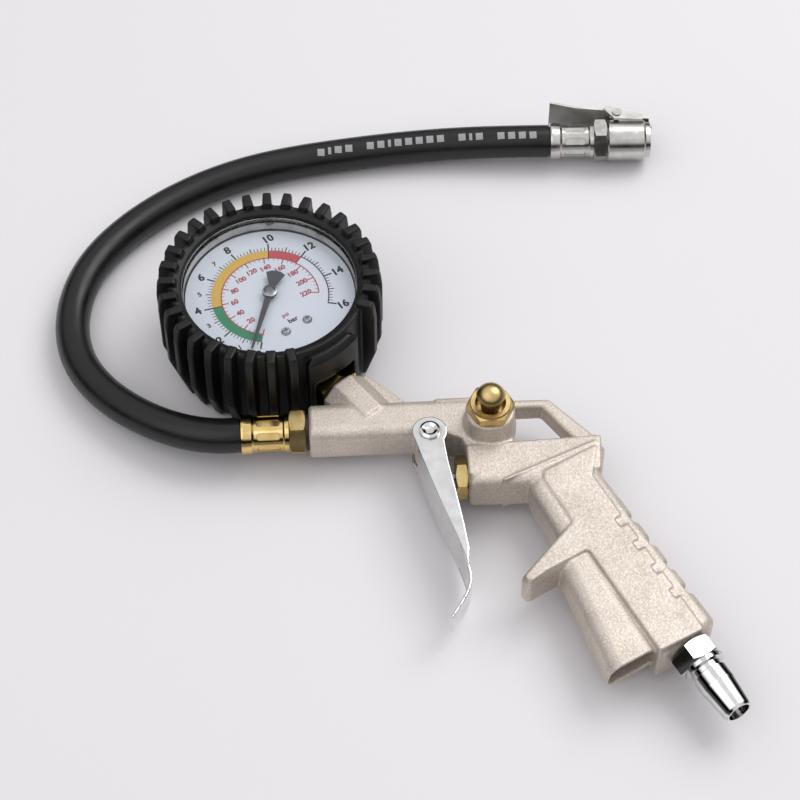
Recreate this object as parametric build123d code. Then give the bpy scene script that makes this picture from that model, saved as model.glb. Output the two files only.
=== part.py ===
from build123d import *
import math
import os

# Tyre inflator with gauge, lying on its side.
# +Z is the gauge's dial normal, +X runs along the barrel from the hose to the handle,
# and the origin is on the gauge axis at the flat back face of the rubber boot.
# All sizes are in millimetres.

# ---- driving dimensions: gauge -------------------------------------------------------------
boot_height = 39.4
boot_ring_level = 37.0
boot_pad_level = 33.8
boot_back_thickness = 2.6
boot_drum_radius = 33.9
boot_tooth_radius = 38.7
boot_window_radius = 30.0
boot_tooth_count = 32
boot_pad_half_angle = 17.0
case_radius = 31.8
case_wall = 0.8
lens_radius = 30.9
dial_radius = 29.2
dial_level = 28.2
needle_level = 30.2
needle_zero_angle = 255.0
stem_angle = -53.5

# ---- driving dimensions: gun ---------------------------------------------------------------
gun_level = 13.0
gun_half_thickness = 7.6
barrel_y = -47.3
barrel_half_width = 7.4
barrel_front = 11.6
barrel_bore_radius = 3.5
port_thread_radius = 4.8
neck_across_flats = 16.0
neck_end_radius = 39.4
trigger_pivot = (51.8, -55.2)
valve_y = -68.4
valve_front = 63.6
valve_bore_radius = 5.5
valve_bore_end = 94.0
bleed_x = 72.0
bleed_y = -52.0
bleed_boss_radius = 8.3
bleed_boss_top = 28.0
handle_angle = -62.5
inlet_port = (129.8, -137.9)
grip_notch_count = 4
grip_notch_pitch = 10.4

# ---- driving dimensions: moving parts ------------------------------------------------------
trigger_sheet = 1.2
trigger_half_width = 8.9
stem_radius = 1.5
stem_gap = 0.25
bleed_head_radius = 4.85
bleed_head_base = 35.2
gear_module = 0.3
pinion_teeth = 10
sector_teeth_full_circle = 80
needle_sweep = 266.5
sector_pivot_angle = -23.5
sector_tail_length = 6.5
bourdon_radius = 21.6
bourdon_sweep = 270.0
running_clearance = 0.04
seat_clearance = 0.05

# ---- driving dimensions: hose and chuck ----------------------------------------------------
hose_radius = 6.0
hose_bore_radius = 3.2
hose_crimped_radius = 5.35
hose_crimped_bore_radius = 3.1
hose_rest_level = 6.0
gun_hose_start = (-11.2, barrel_y, gun_level)
ferrule_length = 16.0
chuck_start = (105.1, 83.9, 9.0)
chuck_angle = -2.0
chuck_body_radius = 7.5
tyre_valve_bore_radius = 4.1
clip_pin_at = (24.8, 5.9)
clip_sheet = 1.0

# ---- worked-out values ---------------------------------------------------------------------
gear_centres = gear_module * (pinion_teeth + sector_teeth_full_circle) / 2
sector_swing = needle_sweep * pinion_teeth / sector_teeth_full_circle
sector_pivot = (gear_centres * math.cos(math.radians(sector_pivot_angle)),
                gear_centres * math.sin(math.radians(sector_pivot_angle)))
bourdon_start_angle = stem_angle - 12
bourdon_tip_angle = bourdon_start_angle - bourdon_sweep + 360
barrel_place = Location((0, barrel_y, gun_level))
valve_place = Location((0, valve_y, gun_level))
stem_place = Location((0, 0, gun_level), (0, 0, stem_angle))
inlet_place = Location((inlet_port[0], inlet_port[1], gun_level), (0, 0, handle_angle))
bleed_place = Location((bleed_x, bleed_y, 0))
gun_hose_place = Location(gun_hose_start)
chuck_place = Location(chuck_start, (0, 0, chuck_angle))
sector_place = Location((sector_pivot[0], sector_pivot[1], 0))


# ---- shared shapes -------------------------------------------------------------------------
def slab(points, low, high):
    """Flat plate with a straight-sided outline, between two Z levels."""
    face = make_face(Polyline(*points, close=True))
    return extrude(Pos(0, 0, low) * face, amount=high - low)


def rounded_slab(points, half_thickness, corner, edge):
    """Plate centred on the gun's mid-plane, with rounded corners and rounded edges."""
    face = make_face(FilletPolyline(*points, radius=corner, close=True))
    solid = extrude(Pos(0, 0, gun_level - half_thickness) * face, amount=2 * half_thickness)
    rims = solid.edges().group_by(Axis.Z)
    return fillet(rims[0] + rims[-1], edge)


def turned_x(profile):
    """Solid of revolution about the X axis from (x, radius) points."""
    return revolve(make_face(Polyline(*profile, close=True)), Axis.X)


def turned_z(profile):
    """Solid of revolution about the Z axis from (radius, z) points."""
    face = make_face(Polyline(*profile, close=True))
    return revolve(Plane.XZ * face, Axis.Z)


def rod_x(start, end, radius):
    """Cylinder along the X axis."""
    return Pos((start + end) / 2, 0, 0) * Cylinder(radius, end - start, rotation=(0, 90, 0))


def rod_z(low, high, radius):
    """Cylinder along the Z axis."""
    return Pos(0, 0, (low + high) / 2) * Cylinder(radius, high - low)


def hex_x(start, end, across_flats, turn=0.0):
    """Hexagonal bar along X with its corners turned off, as on a nut."""
    face = RegularPolygon(across_flats / 2, 6, major_radius=False, rotation=turn)
    bar = extrude(Plane.YZ.offset(start) * face, amount=end - start)
    corner = across_flats / 2 / math.cos(math.pi / 6)
    bevel = corner - across_flats / 2
    crown = turned_x([(start, 0), (start, corner - bevel), (start + bevel * 0.6, corner),
                      (end - bevel * 0.6, corner), (end, corner - bevel), (end, 0)])
    return bar & crown


def coil_z(radius, wire, low, high, turns):
    """Closed-wire compression spring along Z."""
    path = Pos(0, 0, low) * Helix(pitch=(high - low) / turns, height=high - low, radius=radius)
    section = Plane(origin=path @ 0, z_dir=path % 0) * Circle(wire / 2)
    return sweep(section, path=path)


def spring_x(radius, wire, start, end, turns):
    """Compression spring along X."""
    return Location((0, 0, 0), (0, 90, 0)) * coil_z(radius, wire, start, end, turns)


# ---- gun body casting ----------------------------------------------------------------------
def barrel_shape():
    """Square barrel with large rounded corners and a slightly broken front edge."""
    block = Pos((barrel_front + 66) / 2, barrel_y, gun_level) * Box(
        66 - barrel_front, 2 * barrel_half_width, 2 * barrel_half_width)
    block = fillet(block.edges().filter_by(Axis.X), 4.0)
    return chamfer(block.edges().group_by(Axis.X)[0], 0.7)


def gauge_neck_shape():
    """Octagonal neck from the barrel to the gauge stem, with its thin triangular rib."""
    octagon = RegularPolygon(neck_across_flats / 2, 8, major_radius=False, rotation=22.5)
    neck = extrude(Plane.YZ.offset(neck_end_radius) * octagon, amount=17)
    rib_half = 2.6
    rib = slab([(31.5, -25.9), (47.5, -41.2), (34, -41.5), (25.5, -30.6)],
               gun_level - rib_half, gun_level + rib_half)
    return stem_place * neck + rib


def middle_shape():
    """Block that joins the barrel and the valve housing and carries the bleed valve."""
    outline = [(54, -40.1), (80, -40.1), (80, -67), (valve_front, -67), (valve_front, -60.5),
               (62, -56.6), (54, -54.0)]
    block = rounded_slab(outline, gun_half_thickness - 0.6, 0.8, 1.4)
    lug = Pos(*trigger_pivot, gun_level) * Cylinder(5.0, 2 * barrel_half_width)
    radius, top = bleed_boss_radius, bleed_boss_top
    boss = bleed_place * turned_z([(0, 6), (radius, 6), (radius, top - 0.6), (radius - 0.6, top), (0, top)])
    flare = radius + 0.7
    foot = bleed_place * turned_z([(0, 16), (flare, 16), (flare, 20.4), (radius, 21.6), (0, 21.6)])
    return block + lug + boss + foot


def rail_shape():
    """Thin rail that runs over the window and down to the back of the handle."""
    rail_half = 3.9
    outline = [(76, -39.9), (93.2, -40.3), (109.3, -58.6), (109, -64), (98.5, -61),
               (100.2, -57.6), (90.3, -43.6), (76, -43.6)]
    return rounded_slab(outline, rail_half, 1.2, 1.3)


def valve_housing_shape():
    """Block around the valve bore with a well-rounded lower edge, growing into the head of the handle."""
    outline = [(valve_front, -60.6), (108.8, -58.6), (107.5, -74), (96, -78.5), (84, -76.6),
               (valve_front, -76.3)]
    crisp = [(valve_front, -60.6), (108.8, -58.6), (107.6, -72.4), (valve_front, -72.4)]
    half = gun_half_thickness + 0.2
    return rounded_slab(outline, half, 1.0, 3.6) + rounded_slab(crisp, half, 0.7, 0.6)


def handle_core_shape():
    """Rounded core of the grip, from the head down to the inlet end."""
    outline = [(83.4, -70), (103, -60.8), (110.4, -60.4), (107.8, -73), (137.6, -130.3),
               (135.6, -134.9), (119.4, -142.9), (99.5, -104.5), (91.2, -98.5), (83.4, -79.5)]
    return rounded_slab(outline, gun_half_thickness + 0.1, 2.0, 4.4)


def raised_panel(outline):
    """Plate from the gun's mid-plane to just above the grip's side, with a broken edge."""
    face = make_face(FilletPolyline(*outline, radius=0.9, close=True))
    panel = extrude(Pos(0, 0, gun_level) * face, amount=gun_half_thickness + 0.7)
    return chamfer(panel.edges().group_by(Axis.Z)[-1], 0.35)


def side_panel_shape():
    """Raised flat panels on both sides of the grip; the upper one runs out along the spur."""
    behind = [(118.6, -142.5), (133.4, -135.2), (104.3, -75.4), (107.2, -62.4), (88.2, -72.8),
              (88.0, -75.8), (95.9, -93.0)]
    spur = [(84.2, -106.2), (78.4, -113.0), (80.6, -115.2), (86.2, -111.2), (99.8, -103.8)]
    upper = raised_panel(behind + spur)
    lower = mirror(raised_panel(behind + spur[-1:]), about=Plane.XY.offset(gun_level))
    return upper + lower


def spur_shape():
    """Finger spur that stands out in front of the grip."""
    outline = [(97, -91.5), (84.2, -105.2), (77.6, -112.6), (79.6, -116.2), (86.6, -112.2),
               (100.5, -104.4), (103, -98)]
    thickness, top = 13.0, gun_half_thickness + 0.3
    return Pos(0, 0, top - thickness / 2) * rounded_slab(outline, thickness / 2, 1.6, 2.2)


def front_channel_shape():
    """Hollow front half of the grip with a fully rounded front, open at its slanted lower end."""
    wall, channel_half, lip = 1.6, 7.5, 4.0
    front_top, front_low = (89.1, -104.5), (103.6, -153.0)
    back_low, back_top = (120.8, -145.4), (101, -101)
    shell = rounded_slab([front_top, front_low, back_low, back_top], channel_half, 0.8, 5.0)
    inner = [(front_top[0] + 5.6, front_top[1] - 13.5), (front_low[0] + wall, front_low[1] - 3),
             (back_low[0] + 0.4, back_low[1] - 3), (back_top[0] + 5, back_top[1] - 14)]
    hollow = rounded_slab(inner, channel_half - wall, 0.8, 3.4)
    beyond_end = inlet_place * Pos(-lip, 0, 0) * Rot(0, 8.0, 0) * Pos(20, -15, 0) * Box(40, 40, 40)
    return shell - beyond_end, hollow


def head_ridge():
    """Thin raised line across the head of the handle, from the housing to the back corner."""
    width, half = 0.8, gun_half_thickness + 0.65
    start = Pos(74.9, -75.6, gun_level) * Rot(0, 0, 23.7)
    length = 34.6
    return start * Pos(length / 2, 0, 0) * Box(length, width, 2 * half)


def grip_notches():
    """Four shallow steps across the back edge of the grip."""
    notch_length = 4.0
    cuts = []
    for index in range(grip_notch_count):
        along = -16.5 - index * grip_notch_pitch
        edge = Pos(along, 9.4, 0) * Box(notch_length, 2.6, 30)
        shelf = Pos(along, 6.2, 0) * (Box(notch_length, 7, 30) - Box(20, 20, 2 * gun_half_thickness))
        cuts.append(inlet_place * (edge + shelf))
    return cuts


def gun_passages():
    """Air passages and threaded ports inside the casting."""
    port_radius = port_thread_radius + seat_clearance
    hose_port = barrel_place * rod_x(barrel_front - 1, barrel_front + 10, port_radius)
    barrel_bore = barrel_place * rod_x(barrel_front, bleed_x + 1, barrel_bore_radius)
    gauge_port = stem_place * rod_x(neck_end_radius - 1, neck_end_radius + 10, port_radius)
    gauge_bore = stem_place * rod_x(neck_end_radius, 58, 2.0)
    valve_bore = valve_place * rod_x(valve_front - 1, valve_bore_end, valve_bore_radius + seat_clearance)
    bleed_port = bleed_place * rod_z(17, 40, 5.0 + seat_clearance)
    bleed_chamber = bleed_place * rod_z(9, 17.5, 4.2)
    cross_bore = Pos(bleed_x, (valve_y + bleed_y) / 2, gun_level) * Cylinder(
        2.0, bleed_y - valve_y, rotation=(90, 0, 0))
    inlet_thread = inlet_place * rod_x(-10.5, 1, 5.5 + seat_clearance)
    inlet_bore = inlet_place * rod_x(-79, -9, 3.0)
    pivot_hole = Pos(*trigger_pivot, gun_level) * Cylinder(2.0 + seat_clearance, 40)
    return [hose_port, barrel_bore, gauge_port, gauge_bore, valve_bore, bleed_port, bleed_chamber,
            cross_bore, inlet_thread, inlet_bore, pivot_hole]


def gun_body():
    """The whole casting, as one solid."""
    channel, hollow = front_channel_shape()
    body = barrel_shape() + gauge_neck_shape() + middle_shape() + rail_shape() + valve_housing_shape()
    body = body + channel - hollow + handle_core_shape() + spur_shape() + side_panel_shape() + head_ridge()
    for cut in grip_notches() + gun_passages():
        body = body - cut
    return body


# ---- gun fittings --------------------------------------------------------------------------
def inlet_plug():
    """Quick-connect air inlet: threaded end, hexagon, groove and tapered nose."""
    thread = rod_x(-9.5, 0, 5.5)
    hexagon = hex_x(0, 6.6, 14.0)
    nose = turned_x([(6.0, 0), (6.0, 6.7), (8.0, 6.7), (8.4, 5.3), (10.2, 5.3), (10.6, 6.0), (15.2, 6.0),
                     (16.0, 5.8), (25.2, 4.9), (26.0, 4.4), (26.0, 0)])
    bore = turned_x([(-10, 0), (-10, 3.0), (20, 3.0), (23, 3.6), (27, 3.8), (27, 0)])
    return inlet_place * (thread + hexagon + nose - bore)


def valve_gland():
    """Brass gland that guides the valve stem and carries the valve seat at its inner end."""
    head = hex_x(valve_front - 4.0, valve_front, 12.6, turn=30)
    body = rod_x(valve_front, 76.4, valve_bore_radius)
    guide = rod_x(50, 80, stem_radius + running_clearance)
    ring_groove = rod_x(65.0, 66.8, 2.6)
    annulus = rod_x(68.4, 77, 2.9)
    outer_groove = rod_x(70.2, 73.8, 6.0) - rod_x(70.2, 73.8, 4.6)
    port = Pos(72.0, 0, 0) * Cylinder(1.1, 20)
    cross_port = Pos(72.0, 0, 0) * Cylinder(1.1, 20, rotation=(90, 0, 0))
    seal_groove = rod_x(63.7, 65.3, 6.0) - rod_x(63.7, 65.3, 4.5)
    gland = head + body - guide - ring_groove - annulus - outer_groove
    return valve_place * (gland - port - cross_port - seal_groove)


def gland_seal_ring():
    """O-ring under the gland's head."""
    return valve_place * Pos(64.5, 0, 0) * Torus(5.0, 0.48, rotation=(0, 90, 0))


def stem_o_ring():
    """O-ring that seals the sliding stem."""
    return valve_place * Pos(65.9, 0, 0) * Torus(2.07, 0.5, rotation=(0, 90, 0))


def valve_spring():
    """Spring that holds the valve shut."""
    return valve_place * spring_x(3.4, 0.7, 80.4, 93.4, 5)


def trigger_pin():
    """Rivet on which the trigger lever turns, with a dished head."""
    head_level = gun_level + trigger_half_width
    pin = rod_z(gun_level - trigger_half_width - 0.2, head_level + 0.1, 2.0)
    head = turned_z([(0, head_level + 0.1), (3.4, head_level + 0.1), (3.4, head_level + 0.9),
                     (2.6, head_level + 1.3), (1.5, head_level + 0.7), (0, head_level + 0.6)])
    foot_level = gun_level - trigger_half_width
    foot = turned_z([(0, foot_level - 0.1), (3.0, foot_level - 0.1), (2.6, foot_level - 0.9),
                     (0, foot_level - 1.1)])
    return Pos(*trigger_pivot, 0) * (pin + head + foot)


# ---- trigger and valve ---------------------------------------------------------------------
def trigger_front_line(inset):
    """Front face of the lever from above the pivot to the curled tip, moved back by an inset."""
    slanted = 0.9 * inset
    tip = (54.2 + 0.6 * inset, -124.6 - 0.5 * inset)
    return Spline((46.6 + inset, -58.0), (49.4 + inset, -68.4), (55.2 + inset, -88.0),
                  (60.2 + slanted, -104.5), (60.9 + slanted, -112.5), (58.0 + slanted, -119.0), tip)


def trigger_web():
    """Curved front wall of the lever, narrowing to a rounded tip."""
    front = trigger_front_line(0)
    back = trigger_front_line(trigger_sheet)
    face = make_face(front + back + Line(front @ 0, back @ 0) + Line(front @ 1, back @ 1))
    web = extrude(Pos(0, 0, gun_level - trigger_half_width) * face, amount=2 * trigger_half_width)
    tip_half = 4.6
    front_view = make_face(FilletPolyline(
        (-60.8, gun_level - trigger_half_width), (-90, gun_level - trigger_half_width),
        (-106, gun_level - tip_half - 1.6), (-126.5, gun_level - tip_half),
        (-126.5, gun_level + tip_half), (-106, gun_level + tip_half + 1.6),
        (-90, gun_level + trigger_half_width), (-60.8, gun_level + trigger_half_width),
        radius=2.0, close=True))
    return web & extrude(Plane.YZ.offset(30) * front_view, amount=50)


def trigger_flange():
    """One side wall of the lever, with its round pivot ear."""
    ear_radius = 5.9
    front = trigger_front_line(0)
    behind = make_face(front + Polyline(front @ 1, (90, -128), (90, -58), front @ 0))
    wall = make_face(Polyline((40, -58.0), (56.4, -58.0), (57.2, -66.5), (58.9, -78.0), (60.9, -92.0),
                              (61.9, -101.5), (61.3, -108.0), (40, -108.0), close=True))
    plate = extrude(behind & wall, amount=trigger_sheet)
    ear = Pos(*trigger_pivot, trigger_sheet / 2) * Cylinder(ear_radius, trigger_sheet)
    hole = Pos(*trigger_pivot, 0) * Cylinder(2.0 + running_clearance, 10)
    return plate + ear - hole


def trigger_lever():
    """Pressed sheet lever: a channel whose side walls straddle the casting."""
    side = trigger_flange()
    top = Pos(0, 0, gun_level + trigger_half_width - trigger_sheet) * side
    bottom = Pos(0, 0, gun_level - trigger_half_width) * side
    return trigger_web() + top + bottom


def valve_stem():
    """Push rod with the valve head on its inner end."""
    start = 49.4 + trigger_sheet + stem_gap
    shoulder = start + 1.2
    rod = rod_x(shoulder, 77, stem_radius)
    nose = turned_x([(start, 0), (start, 0.4), (start + 0.5, 1.2), (shoulder, stem_radius), (shoulder, 0)])
    head = turned_x([(77.0, 0), (77.0, 1.9), (78.2, 1.9), (78.2, 4.5), (79.6, 4.5), (79.6, 2.6),
                     (83, 2.6), (83, 0)])
    return valve_place * (rod + head)


def valve_seal():
    """Rubber disc that closes on the gland's inner end."""
    return valve_place * (rod_x(76.45, 78.15, 4.4) - rod_x(76, 79, 2.0))


# ---- bleed valve ---------------------------------------------------------------------------
def bleed_valve_body():
    """Brass body: threaded shank, hexagon with a turned crown, and the recess for the button."""
    base, top = bleed_boss_top, bleed_boss_top + 4.2
    shank = rod_z(17.0, base, 5.0)
    hexagon = Location((0, 0, 0), (0, -90, 0)) * hex_x(base, base + 3.8, 14.0, turn=30)
    crown = turned_z([(0, base + 3.4), (7.2, base + 3.4), (6.6, top), (0, top)])
    floor = base + 0.6
    recess = turned_z([(0, floor), (4.3, floor), (4.3, top - 1.6), (5.2, top + 0.1), (0, top + 0.1)])
    stem_guide = rod_z(10, 40, 1.5 + running_clearance)
    body = shank + hexagon + crown - recess - stem_guide
    for index in range(3):
        body = body - Rot(0, 0, 120 * index) * Pos(2.6, 0, 0) * rod_z(16, 30, 0.5)
    return bleed_place * body


def bleed_button():
    """Push button with a domed head, a hollow neck for the spring and a long stem."""
    base, rim, edge, dome_height = bleed_head_base, bleed_head_base + 1.3, bleed_head_radius, 3.3
    dome_radius = (edge ** 2 + dome_height ** 2) / (2 * dome_height)
    dome = Pos(0, 0, rim + dome_height - dome_radius) * Sphere(dome_radius)
    blank = turned_z([(0, base), (edge - 1.3, base), (edge - 0.1, rim - 0.2), (edge, rim), (edge, rim + 5),
                      (0, rim + 5)])
    head = blank & (rod_z(base - 1, rim, edge + 1) + dome)
    neck_low = bleed_boss_top + 2.3
    neck = turned_z([(2.75, neck_low), (3.3, neck_low), (3.6, base + 0.2), (2.75, base + 0.2)])
    stem = rod_z(14.2, base + 0.5, 1.5)
    return bleed_place * (head + neck + stem)


def bleed_valve_disc():
    """Brass nut that holds the seal on the stem's lower end."""
    return bleed_place * (rod_z(14.2, 15.4, 3.6) - rod_z(14, 16, 1.5 + seat_clearance))


def bleed_seal():
    """Rubber ring that closes the bleed passage from below."""
    return bleed_place * (rod_z(15.45, 16.95, 3.6) - rod_z(15, 17.5, 1.5 + seat_clearance))


def bleed_spring():
    """Spring inside the button's neck that pushes it up."""
    return bleed_place * coil_z(2.2, 0.5, bleed_boss_top + 0.9, bleed_head_base - 0.3, 5)


# ---- gauge boot and case -------------------------------------------------------------------
def boot_teeth():
    """Narrow blocks around the boot like the tread of a tyre, a little taller than its front ring."""
    pitch = 360 / boot_tooth_count
    foot, root_half, tip_half = 32.0, 1.65, 1.3
    plan = [(foot, -root_half), (boot_drum_radius, -root_half), (40.0, -tip_half), (40.0, tip_half),
            (boot_drum_radius, root_half), (foot, root_half)]
    block = slab(plan, 0, boot_height)
    envelope = turned_z([(foot, 1.2), (35.2, 1.2), (boot_tooth_radius, 13.5), (boot_tooth_radius, 32.0),
                         (38.2, 37.2), (37.4, boot_height), (foot, boot_height)])
    tooth = block & envelope
    teeth = []
    for index in range(boot_tooth_count):
        angle = index * pitch
        from_stem = (angle - stem_angle + 180) % 360 - 180
        if abs(from_stem) >= boot_pad_half_angle + pitch / 2:
            teeth.append(Rot(0, 0, angle) * tooth)
    return teeth


def boot_pad():
    """Smooth pad where the boot is cut out for the gauge stem."""
    reach = boot_tooth_radius - 1.9
    swing = math.radians(boot_pad_half_angle)
    arc = ThreePointArc((reach * math.cos(swing), -reach * math.sin(swing)), (reach, 0),
                        (reach * math.cos(swing), reach * math.sin(swing)))
    sides = Polyline(arc @ 1, (30, 8), (30, -8), arc @ 0)
    pad = extrude(make_face(arc + sides), amount=boot_pad_level)
    return Rot(0, 0, stem_angle) * chamfer(pad.edges().group_by(Axis.Z)[-1], 1.8)


def gauge_boot():
    """Rubber boot: closed back, toothed wall and an inward lip over the bezel."""
    ring, cavity = boot_ring_level, case_radius + seat_clearance
    outer, lip = boot_drum_radius, boot_window_radius
    drum = turned_z([(0, 0), (outer - 1.5, 0), (outer, 1.5), (outer, ring - 0.4), (outer - 0.4, ring),
                     (32.6, ring), (lip + 0.5, 36.1), (lip, 35.7), (lip, 34.6), (cavity, 34.6),
                     (cavity, boot_back_thickness), (0, boot_back_thickness)])
    boot = drum + (boot_pad() - rod_z(-1, 50, case_radius + 1))
    for tooth in boot_teeth():
        boot = boot + tooth
    window = stem_place * (Pos(35, 0, 0) * Box(14, 16.6, 16.6))
    return boot - window


def gauge_case():
    """Pressed steel case, open at the dial and cut away for the stem."""
    back = boot_back_thickness + seat_clearance
    case = turned_z([(0, back), (case_radius, back), (case_radius, 29.9), (case_radius - case_wall, 29.9),
                     (case_radius - case_wall, back + case_wall), (0, back + case_wall)])
    return case - stem_place * (Pos(31, 0, 0) * Box(8, 14.6, 14.6))


def gauge_bezel():
    """Bright ring that holds the lens in the case."""
    inside_case = case_radius - case_wall - seat_clearance
    return turned_z([(29.6, 28.9), (inside_case, 28.9), (inside_case, 30.0), (case_radius, 30.0),
                     (case_radius, 34.5), (29.9, 34.5), (29.9, 34.1), (31.0, 34.1), (31.0, 32.3),
                     (29.6, 32.3)])


def gauge_lens():
    """Clear flat lens."""
    return rod_z(32.35, 34.05, lens_radius)


# ---- dial and needle -----------------------------------------------------------------------
def dial_plate():
    """White dial plate with holes for the arbor, the two screws and the stop pin."""
    plate = rod_z(dial_level - 0.6, dial_level, dial_radius) - rod_z(20, 40, 1.6)
    for place in dial_screw_places():
        plate = plate - place * rod_z(20, 40, 0.85)
    return plate - stop_pin_place() * rod_z(20, 40, 0.45)


def dial_screw_places():
    """Where the two dial screws sit, below the arbor on the dial's scale-free side."""
    radius = 16.7
    return [Rot(0, 0, angle) * Pos(radius, 0, 0) for angle in (-72, -41.5)]


def stop_pin_place():
    """Where the zero stop pin stands, just below the needle's zero position."""
    return Rot(0, 0, needle_zero_angle - 2.5) * Pos(16.5, 0, 0)


def dial_screws():
    """Two round-head screws with crossed slots, as separate solids."""
    screws = []
    for place in dial_screw_places():
        head_top = dial_level + 1.0
        head = turned_z([(0, dial_level), (1.7, dial_level), (1.6, head_top - 0.5), (1.2, head_top - 0.1),
                         (0, head_top)])
        slot = Pos(0, 0, head_top) * (Box(1.8, 0.5, 0.9) + Box(0.5, 1.8, 0.9))
        screws.append(place * (head + rod_z(dial_level - 5, dial_level, 0.8) - slot))
    return Compound(children=screws)


def zero_stop_pin():
    """Small pin that stands beside the needle at zero."""
    return stop_pin_place() * rod_z(dial_level - 1.2, dial_level + 1.6, 0.4)


def needle():
    """Slender pointer with a fan-shaped tail, pointing to zero at rest."""
    outline = [(0, 1.25), (24.6, 0.35), (25.4, 0), (24.6, -0.35), (0, -1.25), (-3.0, -1.1), (-8.2, -3.3),
               (-9.2, -1.7), (-9.5, 0), (-9.2, 1.7), (-8.2, 3.3), (-3.0, 1.1)]
    blade = slab(outline, needle_level, needle_level + 0.4)
    blade = Rot(0, 0, needle_zero_angle) * blade
    return blade + rod_z(needle_level, needle_level + 0.4, 2.6) - rod_z(20, 40, 0.65)


def needle_hub():
    """Metal hub pressed on the arbor, with a ring around its cap."""
    lower = rod_z(needle_level - 1.0, needle_level - 0.02, 1.4)
    upper = turned_z([(0, needle_level + 0.42), (2.5, needle_level + 0.42), (2.5, needle_level + 1.0),
                      (2.0, needle_level + 1.2), (1.9, needle_level + 1.0), (1.2, needle_level + 1.45),
                      (0, needle_level + 1.5)])
    sleeve = rod_z(needle_level - 0.5, needle_level + 0.6, 0.63)
    return lower + upper + sleeve - rod_z(20, needle_level + 0.2, 0.52)


# ---- gauge movement ------------------------------------------------------------------------
def involute_point(base, radius):
    """Polar angle that an involute of the base circle has turned through at a radius."""
    ratio = math.sqrt(max((radius / base) ** 2 - 1, 0))
    return ratio - math.atan(ratio)


def gear_tooth(teeth, centre_angle):
    """Points of one tooth, from its left root to its right root, with running backlash."""
    pitch = gear_module * teeth / 2
    base = pitch * math.cos(math.radians(20))
    root = pitch - 1.2 * gear_module
    tip = pitch + 0.75 * gear_module
    half = math.pi / (2 * teeth) - 0.022 / pitch + involute_point(base, pitch)
    lowest = max(base, root)
    flank = [lowest + (tip - lowest) * step / 4 for step in range(5)]
    turns = [(radius, half - involute_point(base, radius)) for radius in flank]
    if root < base:
        turns.insert(0, (root, half))
    left = [(radius, centre_angle + turn) for radius, turn in turns]
    right = [(radius, centre_angle - turn) for radius, turn in reversed(turns)]
    return [(radius * math.cos(angle), radius * math.sin(angle)) for radius, angle in left + right]


def pinion():
    """Ten-tooth pinion on the needle's arbor."""
    mesh_angle = math.radians(sector_pivot_angle)
    step = 2 * math.pi / pinion_teeth
    points = []
    for index in range(pinion_teeth):
        points += gear_tooth(pinion_teeth, mesh_angle - (index + 0.5) * step)
    wheel = slab(points, 17.6, 20.9)
    return wheel + rod_z(15.9, needle_level + 0.15, 0.5)


def sector_gear():
    """Toothed sector with its arbor and the tail that the link pulls."""
    towards_pinion = math.radians(sector_pivot_angle + 180)
    step = 2 * math.pi / sector_teeth_full_circle
    lead, lag = 2, int(sector_swing / math.degrees(step)) + 3
    points = []
    for index in range(lead, -lag, -1):
        points += gear_tooth(sector_teeth_full_circle, towards_pinion + index * step)
    points.reverse()
    rim = slab([(0, 0)] + points, 18.6, 19.6)
    reach = sector_tail_length
    tail = slab([(-2, -2.2), (reach, -1.5), (reach, 1.5), (-2, 2.2)], 18.6, 19.6)
    tail = tail + Pos(reach, 0, 0) * rod_z(18.6, 19.6, 1.5)
    tail_hole = Pos(reach, 0, 0) * rod_z(10, 30, 0.55)
    to_tail = Rot(0, 0, sector_tail_angle())
    arbor = rod_z(15.9, 22.9, 0.6) + rod_z(17.0, 21.6, 1.2)
    to_middle = Rot(0, 0, math.degrees(towards_pinion) - sector_swing / 2)
    lightening = to_middle * Pos(6.8, 0, 0) * rod_z(10, 30, 2.0)
    return sector_place * (rim + to_tail * tail - to_tail * tail_hole - lightening + arbor)


def sector_tail_angle():
    """Direction of the tail at zero pressure, so that it is square to the link half way."""
    return sector_pivot_angle - sector_swing / 2


def tail_pin_at():
    """Centre of the link pin on the sector's tail at zero pressure."""
    angle = math.radians(sector_tail_angle())
    return (sector_pivot[0] + sector_tail_length * math.cos(angle),
            sector_pivot[1] + sector_tail_length * math.sin(angle))


def link_pin():
    """Rivet that joins the link to the sector's tail."""
    heads = rod_z(17.9, 18.5, 0.9) + rod_z(20.65, 21.0, 0.9)
    return Pos(*tail_pin_at(), 0) * (rod_z(18.2, 20.9, 0.5) + heads)


def bourdon_tip_at():
    """Centre of the eye on the tube's end piece."""
    angle = math.radians(bourdon_tip_angle - 5)
    return (bourdon_radius * math.cos(angle), bourdon_radius * math.sin(angle))


def sector_link():
    """Flat link from the sector's tail to the bourdon tube's end piece."""
    near, far = tail_pin_at(), bourdon_tip_at()
    low, high = 19.8, 20.6
    direction = math.degrees(math.atan2(far[1] - near[1], far[0] - near[0]))
    length = math.dist(near, far)
    bar = slab([(0, -0.8), (length, -0.8), (length, 0.8), (0, 0.8)], low, high)
    eyes = rod_z(low, high, 1.5) + Pos(length, 0, 0) * rod_z(low, high, 1.5)
    holes = rod_z(10, 30, 0.5 + running_clearance) + Pos(length, 0, 0) * rod_z(10, 30, 0.55)
    return Location((near[0], near[1], 0), (0, 0, direction)) * (bar + eyes - holes)


def bourdon_tube():
    """Flattened tube bent to a C, which uncurls under pressure."""
    section = RectangleRounded(2.6, 8.6, 1.2) - RectangleRounded(1.9, 7.9, 0.85)
    section = Plane.XZ * Pos(bourdon_radius, gun_level) * section
    tube = revolve(section, Axis.Z, revolution_arc=bourdon_sweep)
    return Rot(0, 0, bourdon_tip_angle) * tube


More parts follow.
